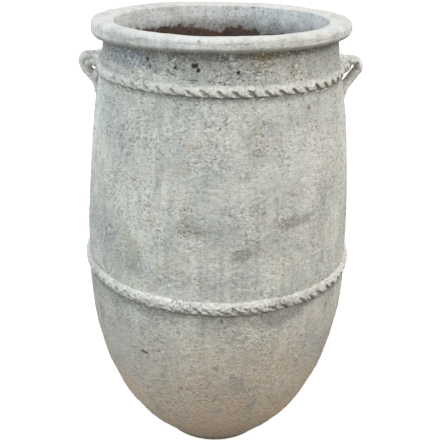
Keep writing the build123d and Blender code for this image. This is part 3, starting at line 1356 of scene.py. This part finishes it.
def rope_finish(node, height):
    coat = Coat("wash on the " + node.replace("_", " "))
    weathered(coat, "thick_wash", "wash", ROPE_SEED)
    level = coat.z + coat.ragged("ragged rope", ROPE_WANDER)
    if node == "neck_rope":
        coat.lay("grey_wash_and_shade", level.between(height + 0.003, height + 0.012), 0.60)
        lower_face_shade = level.between(height - 0.009, height - 0.014)
    else:
        lower_face_shade = level.between(height - 0.003, height - 0.012)
    # Painted shade, with some dirt, on the coil's lower face
    coat.lay("grime_and_shade", lower_face_shade, 0.55)
    speckled(coat, ROPE_SEED)
    holes = pits(coat, "rope") + pricks(coat)
    coat.lay("grime_and_shade", holes, 0.7)
    # Painted shade on the undersides
    coat.lay("grime_and_shade", coat.above().between(*SHADED_UNDERSIDE), 0.75)
    # Painted shade in the grooves between the strands
    crease_shade = coat.start.node("ShaderNodeNewGeometry", output="Pointiness")
    coat.lay("grime_and_shade", crease_shade.between(0.495, 0.44), 0.65)
    coat.sink(holes, 0.7)
    return coat.show(depth=0.003, strength=0.6)


def handle_finish():
    coat = Coat("wash on the handles")
    weathered(coat, "thick_wash", "rim_wash", HANDLE_SEED)
    speckled(coat, HANDLE_SEED)
    holes = pits(coat, "handle")
    coat.lay("grime_and_shade", holes, 0.7)
    # Painted shade on the undersides
    coat.lay("grime_and_shade", coat.above().between(*SHADED_UNDERSIDE), 0.12)
    coat.sink(holes, 0.7)
    return coat.show(depth=0.003, strength=0.5)


def inside_finish():
    coat = Coat("bare clay inside")
    coat.tone = shade("clay")
    coat.lay("pit", coat.pattern("bare patches").between(0.35, 0.7))
    speckled(coat, BARE_SEED, crumbs=0.12)
    bare = coat.tone
    weathered(coat, "inner_wash", "rim_wash", RIM_SEED)
    speckled(coat, RIM_SEED)
    level = coat.z + coat.ragged("ragged mouth", MOUTH_WANDER)
    # The wash grows darker deeper in the mouth
    deeper_in_mouth = level.between(*MOUTH_DARKENING)
    coat.lay("grime_and_shade", deeper_in_mouth, 0.56)
    coat.lay("pit", pits(coat, "mouth") + deeper_in_mouth * pits(coat, "deep mouth"), 0.65)
    washed = (level + MOUTH_SLOPE * coat.x).between(*MOUTH_EDGE)
    coat.tone = washed.mixed(bare, coat.tone)
    return coat.show(depth=0.003, strength=0.5)


# The stage

FLOOR_RADIUS = 30
FLOOR_GLOW = 0.88  # with the light on it, the floor is then white to the camera
SENSOR_WIDTH = 36  # mm
WHITE = (1, 1, 1, 1)

# The sky's strength from just below the horizon up to overhead
SKY_RISE = (-0.15, 1.0)
SKY_STRENGTH = (0.82, 1.25)

LAMPS = (
    # name, place, aim, size, watts, tint
    ("high window", (2.2, -1.6, 3.4), (0, 0, 0.7), 2.5, 66, (1.0, 0.98, 0.94)),
    ("cool side", (-3.0, -1.6, 2.0), (0, 0, 0.6), 2.5, 53, (0.71, 0.88, 1.0)),
)


def seen(start):
    """1 for a ray from the camera, or one that a gloss or a glass sends on."""
    direct = start.node("ShaderNodeLightPath", output="Is Camera Ray")
    mirrored = direct.beside("Is Glossy Ray")
    through = direct.beside("Is Transmission Ray")
    return (direct + mirrored + through).between(0, 1)


def end_tree(tree, kind, shader):
    out = tree.nodes.new(kind)
    tree.links.new(shader.link, out.inputs["Surface"])


def floor_material(settings):
    """A floor that is white to the camera and keeps the jar's shadow."""
    material = bpy.data.materials.new("pale floor")
    material.use_nodes = True
    tree = material.node_tree
    tree.nodes.clear()
    start = Socket(tree)
    base = start.node("ShaderNodeBsdfDiffuse", {"Color": opaque(settings.floor_colour)})
    strength = seen(start) * FLOOR_GLOW
    glow = start.node("ShaderNodeEmission", {"Color": WHITE, "Strength": strength})
    both = start.node("ShaderNodeAddShader", {0: base, 1: glow})
    end_tree(tree, "ShaderNodeOutputMaterial", both)
    return material


def light_world(settings):
    """An overcast sky that is white to the camera."""
    world = bpy.data.worlds.new("overcast")
    bpy.context.scene.world = world
    world.use_nodes = True
    tree = world.node_tree
    tree.nodes.clear()
    start = Socket(tree)
    way = start.node("ShaderNodeTexCoord", output="Generated")
    height = way.node("ShaderNodeSeparateXYZ", {0: way}, "Z")
    level = height.between(*SKY_RISE, *SKY_STRENGTH)
    inputs = {"Color": opaque(settings.sky_colour), "Strength": level}
    sky = start.node("ShaderNodeBackground", inputs)
    white = start.node("ShaderNodeBackground", {"Color": WHITE, "Strength": 1.0})
    both = start.node("ShaderNodeMixShader", {0: seen(start), 1: sky, 2: white})
    end_tree(tree, "ShaderNodeOutputWorld", both)


def soft_lamp(name, place_at, aim, size, watts, tint):
    deselect()
    direction = Vector(aim) - Vector(place_at)
    turned = direction.to_track_quat("-Z", "Y").to_euler()
    bpy.ops.object.light_add(type="AREA", location=place_at, rotation=turned)
    lamp = bpy.context.object
    lamp.name = name
    lamp.data.shape = "DISK"
    lamp.data.size = size
    lamp.data.energy = watts
    lamp.data.color = tint


class JAR_OT_stage(Operator):
    """Set up the pale floor, the overcast light and the camera"""

    bl_idname = "jar.stage"
    bl_label = "Stage"

    def execute(self, context):
        settings = context.scene.jar_stage
        deselect()
        bpy.ops.mesh.primitive_circle_add(
            vertices=96, radius=FLOOR_RADIUS, fill_type="NGON", location=(0, 0, 0)
        )
        floor = context.object
        floor.name = "floor"
        floor.data.materials.append(floor_material(settings))
        light_world(settings)
        for lamp in LAMPS:
            soft_lamp(*lamp)
        deselect()
        tilt = Matrix.Rotation(math.pi / 2 - settings.camera_tilt, 3, "X")
        turned = (tilt @ Matrix.Rotation(settings.camera_roll, 3, "Z")).to_euler()
        bpy.ops.object.camera_add(
            location=(0, -settings.camera_distance, settings.camera_height), rotation=turned
        )
        camera = context.object
        camera.data.lens = settings.focal_length
        camera.data.sensor_width = SENSOR_WIDTH
        camera.data.shift_x = settings.frame_shift
        context.scene.camera = camera
        context.scene.view_settings.view_transform = "Standard"
        return {"FINISHED"}


OPERATORS = (JAR_OT_body, JAR_OT_ropes, JAR_OT_handles, JAR_OT_stage)
SETTINGS = {
    "jar_sizes": JarSizes,
    "rope_sizes": RopeSizes,
    "handle_sizes": HandleSizes,
    "jar_finish": JarFinish,
    "jar_stage": StageSettings,
}


class JAR_PT_panel(Panel):
    """Lists the steps and the sizes of the jar"""

    bl_idname = "JAR_PT_panel"
    bl_label = "Storage jar"
    bl_space_type = "VIEW_3D"
    bl_region_type = "UI"
    bl_category = "Jar"

    def draw(self, context):
        for operator in OPERATORS:
            self.layout.operator(operator.bl_idname)
        for name in SETTINGS:
            group = getattr(context.scene, name)
            box = self.layout.box()
            for key in group.bl_rna.properties.keys():
                if key not in {"rna_type", "name"}:
                    box.prop(group, key)


def register():
    for cls in (*SETTINGS.values(), *OPERATORS, JAR_PT_panel):
        bpy.utils.register_class(cls)
    for name, group in SETTINGS.items():
        setattr(bpy.types.Scene, name, PointerProperty(type=group))


def unregister():
    for name in SETTINGS:
        delattr(bpy.types.Scene, name)
    for cls in reversed((*SETTINGS.values(), *OPERATORS, JAR_PT_panel)):
        bpy.utils.unregister_class(cls)


def main():
    register()
    bpy.ops.jar.body()
    bpy.ops.jar.ropes()
    bpy.ops.jar.handles()
    bpy.ops.jar.stage()


if __name__ == "__main__":
    main()
